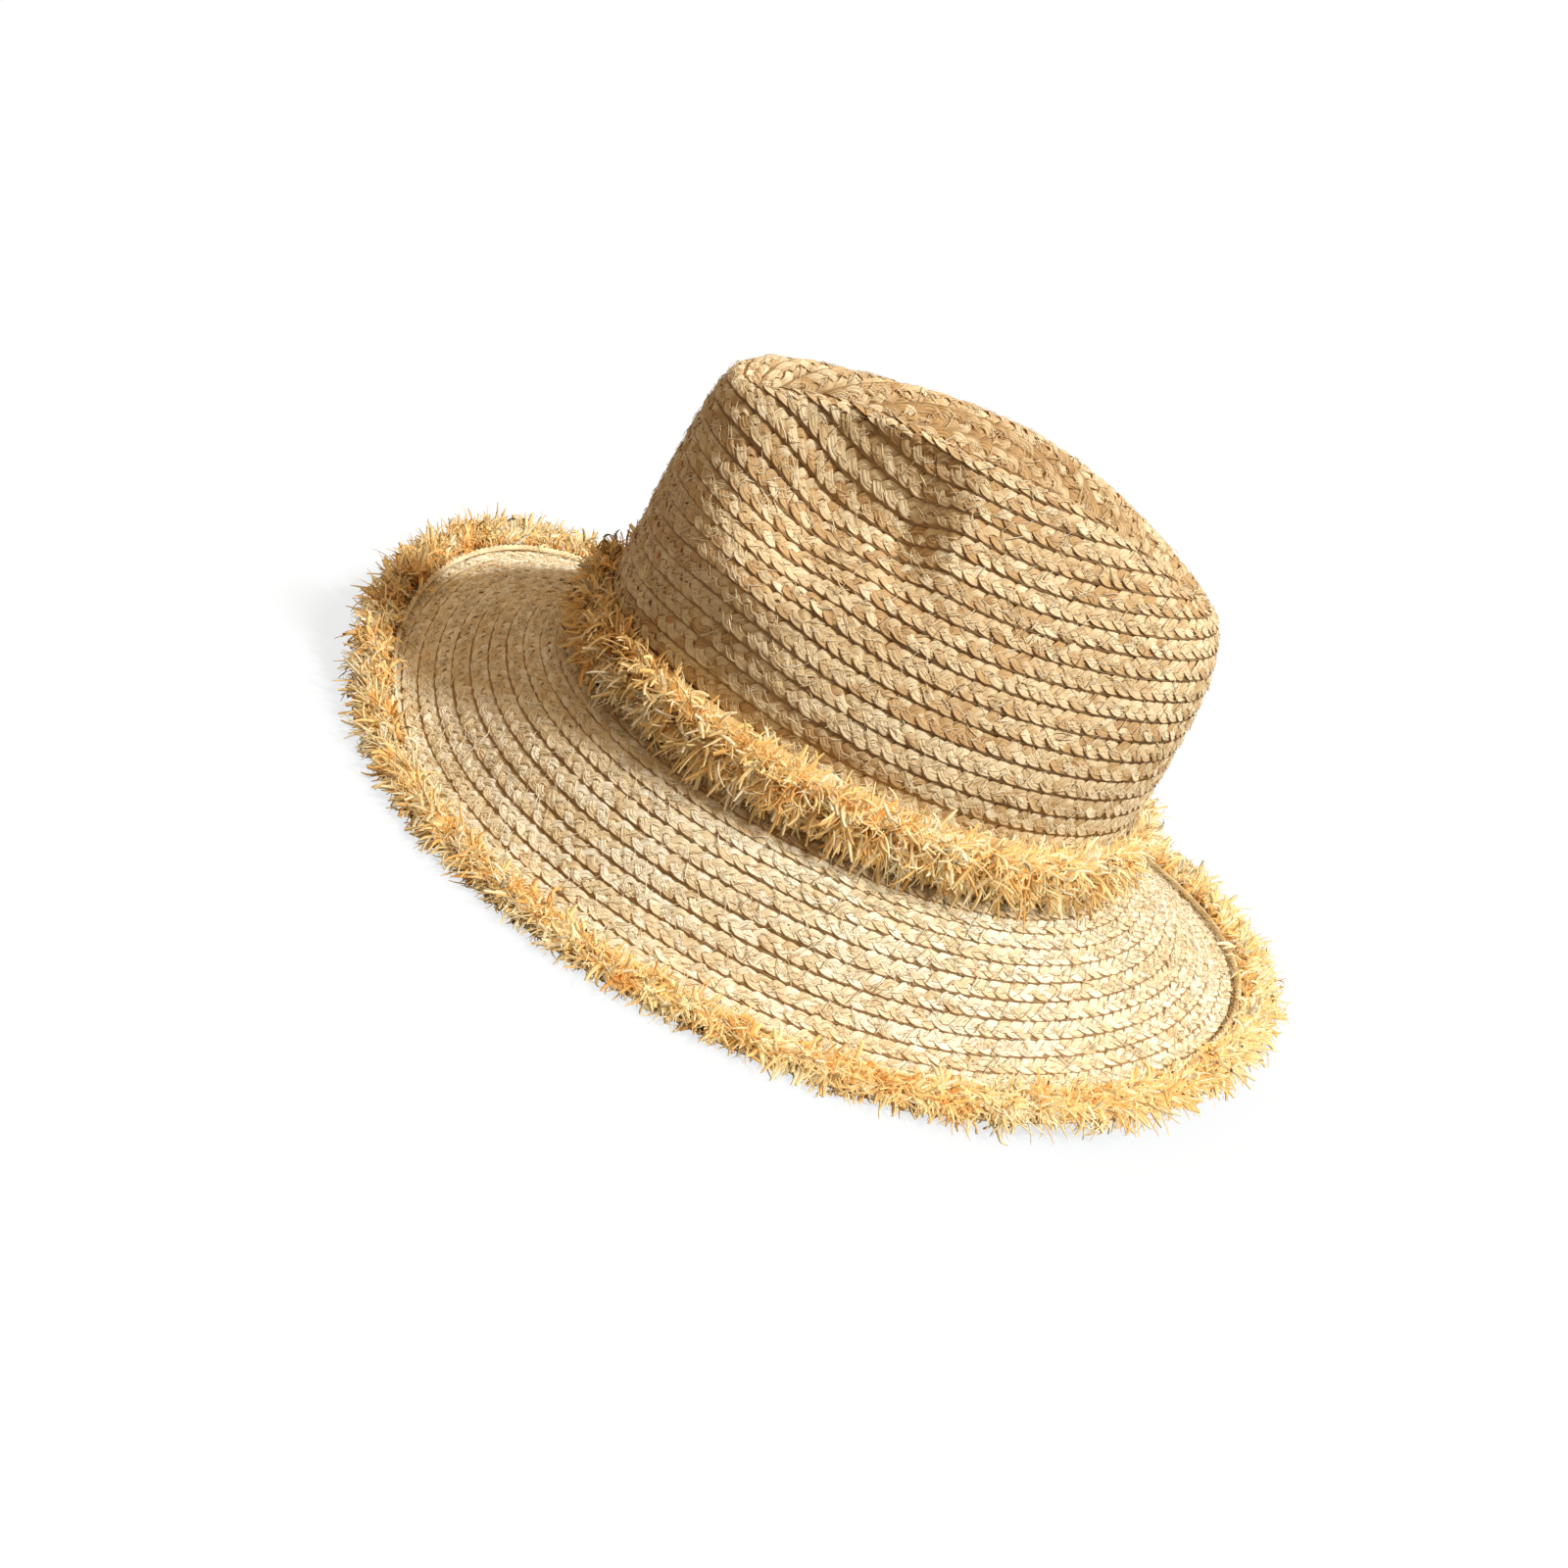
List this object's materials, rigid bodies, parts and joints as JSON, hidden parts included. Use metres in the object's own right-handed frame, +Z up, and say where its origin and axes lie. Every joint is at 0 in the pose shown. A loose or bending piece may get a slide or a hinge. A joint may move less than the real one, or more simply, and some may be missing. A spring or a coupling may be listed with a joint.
{
  "type": "straw sun hat",
  "caption": "Straw sun hat sewn from rows of raffia plait: creased and pinched crown, drooping brim, frayed fringe band and frayed fringe along the brim's edge.",
  "frame": {"origin": "middle of the hat's footprint, on the surface that the brim stands on", "axes": "+Z up, -Y is the hat's front, +X is the wearer's left"},
  "size_m": [0.3102, 0.3544, 0.1693],
  "materials": {
    "straw_plait": "plaited raffia in sewn rows, dry, faint sheen",
    "raffia_fringe": "cut raffia fibres, golden with pale tips",
    "fringe_header": "twisted raffia cord",
    "fringe_tape": "woven raffia tape, hidden under the fringe",
    "sweatband_ribbon": "ribbed cotton ribbon, matt",
    "sewing_thread": "cotton thread"
  },
  "bodies": {
    "root": {"crown_tip": "straw_plait", "crown_wall": "straw_plait", "brim": "straw_plait", "sweatband": "sweatband_ribbon", "sweatband_thread": "sewing_thread", "band_core": "fringe_tape", "band_fringe_upper": "raffia_fringe", "band_fringe_lower": "raffia_fringe", "band_thread": "sewing_thread", "brim_fringe_header": "fringe_header", "brim_fringe_inner": "raffia_fringe", "brim_fringe_outer": "raffia_fringe"}
  },
  "joints": []
}
